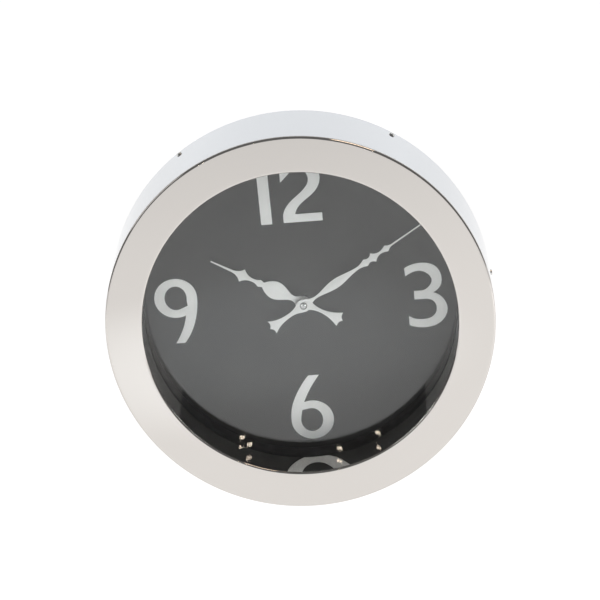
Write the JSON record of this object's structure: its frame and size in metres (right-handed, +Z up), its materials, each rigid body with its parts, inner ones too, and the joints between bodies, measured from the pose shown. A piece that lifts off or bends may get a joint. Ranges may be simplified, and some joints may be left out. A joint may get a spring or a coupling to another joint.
{
  "type": "wall clock",
  "caption": "Round wall clock in a deep polished metal drum with a wide flat bezel, black dial, silver numerals and ornate hands, driven by a quartz movement.",
  "frame": {"origin": "centre of the rear plane, where the drum's rear edge lies on the wall", "axes": "+Z up towards twelve o'clock, the dial faces -Y, +Y into the wall, +X towards three o'clock"},
  "size_m": [0.3064, 0.0762, 0.3048],
  "materials": {
    "polished_case": "polished nickel plate",
    "polished_bezel": "polished nickel plate",
    "black_rubber": "matt",
    "clear_glass": "flat, clear",
    "black_plastic": "moulded, satin",
    "zinc_steel": "zinc plated",
    "screw_steel": "plain steel, satin",
    "dark_fixing": "dark plated",
    "dial_black": "satin black paint",
    "silver_trim": "satin silver",
    "fibreboard": "raw fibreboard",
    "silver_hand": "satin silver",
    "brass": "turned",
    "satin_nut": "satin plate",
    "movement_plastic": "moulded",
    "natural_plastic": "natural acetal",
    "circuit_laminate": "solder mask",
    "crystal_can": "tinned can",
    "copper_wire": "enamelled copper wire",
    "contact_nickel": "nickel plated spring strip",
    "cell_sleeve": "printed sleeve, no lettering",
    "magnet": "sintered magnet",
    "knob_plastic": "moulded"
  },
  "bodies": {
    "case": {"case_drum": "polished_case", "front_bezel": "polished_bezel", "glass_gasket": "black_rubber", "glass_lens": "clear_glass", "spacer_ring": "black_plastic", "spacer_screws": "zinc_steel", "dial_plate": "dial_black", "numeral_12": "silver_trim", "numeral_3": "silver_trim", "numeral_6": "silver_trim", "numeral_9": "silver_trim", "back_board": "fibreboard", "case_screws": "screw_steel", "hanger_plate": "zinc_steel", "hanger_screws": "zinc_steel", "movement_case": "movement_plastic", "movement_cover": "movement_plastic", "train_bridge": "natural_plastic", "bridge_screws": "zinc_steel", "centre_bushing": "brass", "rubber_washer": "black_rubber", "fixing_washer": "dark_fixing", "fixing_nut": "dark_fixing", "circuit_board": "circuit_laminate", "control_chip": "black_plastic", "quartz_crystal": "crystal_can", "stator_plate": "zinc_steel", "coil_core": "zinc_steel", "coil_bobbin": "natural_plastic", "coil_winding": "copper_wire", "positive_contact": "contact_nickel", "negative_contact": "contact_nickel"},
    "minute": {"minute_hand": "silver_hand", "minute_hand_collet": "dark_fixing", "hand_nut": "satin_nut", "minute_arbor": "brass", "clutch_spring": "contact_nickel"},
    "hour": {"hour_hand": "silver_hand", "hour_hand_collet": "dark_fixing", "hour_wheel": "natural_plastic"},
    "minute_wheel_body": {"minute_wheel": "natural_plastic"},
    "knob": {"setting_knob": "knob_plastic"},
    "rotor": {"rotor_magnet": "magnet", "rotor_pinion": "natural_plastic"},
    "intermediate": {"intermediate_wheel": "natural_plastic"},
    "seconds": {"seconds_wheel": "natural_plastic"},
    "third": {"third_wheel": "natural_plastic"},
    "centre": {"centre_wheel": "natural_plastic"},
    "cell": {"battery_cell": "cell_sleeve"}
  },
  "joints": [
    {"name": "minute_hand_turn", "type": "hinge", "parent": "case", "child": "minute", "pos_m": [0.0021, -0.02, 0], "axis": [0, 1, 0], "continuous": true},
    {"name": "hour_hand_turn", "type": "hinge", "parent": "case", "child": "hour", "pos_m": [0.0021, -0.02, 0], "axis": [0, 1, 0], "continuous": true},
    {"name": "minute_wheel_turn", "type": "hinge", "parent": "case", "child": "minute_wheel_body", "pos_m": [0.00863, -0.013, -0.00304], "axis": [0, 1, 0], "continuous": true},
    {"name": "setting_knob_turn", "type": "hinge", "parent": "case", "child": "knob", "pos_m": [0.01515, -0.008, -0.00609], "axis": [0, 1, 0], "continuous": true},
    {"name": "seconds_wheel_turn", "type": "hinge", "parent": "case", "child": "seconds", "pos_m": [0.0021, -0.008, 0], "axis": [0, 1, 0], "continuous": true},
    {"name": "rotor_turn", "type": "hinge", "parent": "case", "child": "rotor", "pos_m": [0.01626, -0.006, 0.00893], "axis": [0, 1, 0], "continuous": true},
    {"name": "intermediate_wheel_turn", "type": "hinge", "parent": "case", "child": "intermediate", "pos_m": [0.00804, -0.006, 0.00594], "axis": [0, 1, 0], "continuous": true},
    {"name": "third_wheel_turn", "type": "hinge", "parent": "case", "child": "third", "pos_m": [-0.00554, -0.009, 0.00764], "axis": [0, 1, 0], "continuous": true},
    {"name": "centre_wheel_turn", "type": "hinge", "parent": "case", "child": "centre", "pos_m": [0.0021, -0.011, 0], "axis": [0, 1, 0], "continuous": true},
    {"name": "battery_slide", "type": "slide", "parent": "case", "child": "cell", "axis": [0, 1, 0], "range_m": [0, 0.018]}
  ],
  "couplings": [
    {"joint": "hour_hand_turn", "follows": "minute_hand_turn", "ratio": 0.083333},
    {"joint": "minute_wheel_turn", "follows": "minute_hand_turn", "ratio": -0.33333},
    {"joint": "setting_knob_turn", "follows": "minute_hand_turn", "ratio": 1},
    {"joint": "rotor_turn", "follows": "intermediate_wheel_turn", "ratio": -6},
    {"joint": "seconds_wheel_turn", "follows": "intermediate_wheel_turn", "ratio": -0.2},
    {"joint": "third_wheel_turn", "follows": "intermediate_wheel_turn", "ratio": 0.026667},
    {"joint": "centre_wheel_turn", "follows": "intermediate_wheel_turn", "ratio": -0.0033333}
  ]
}
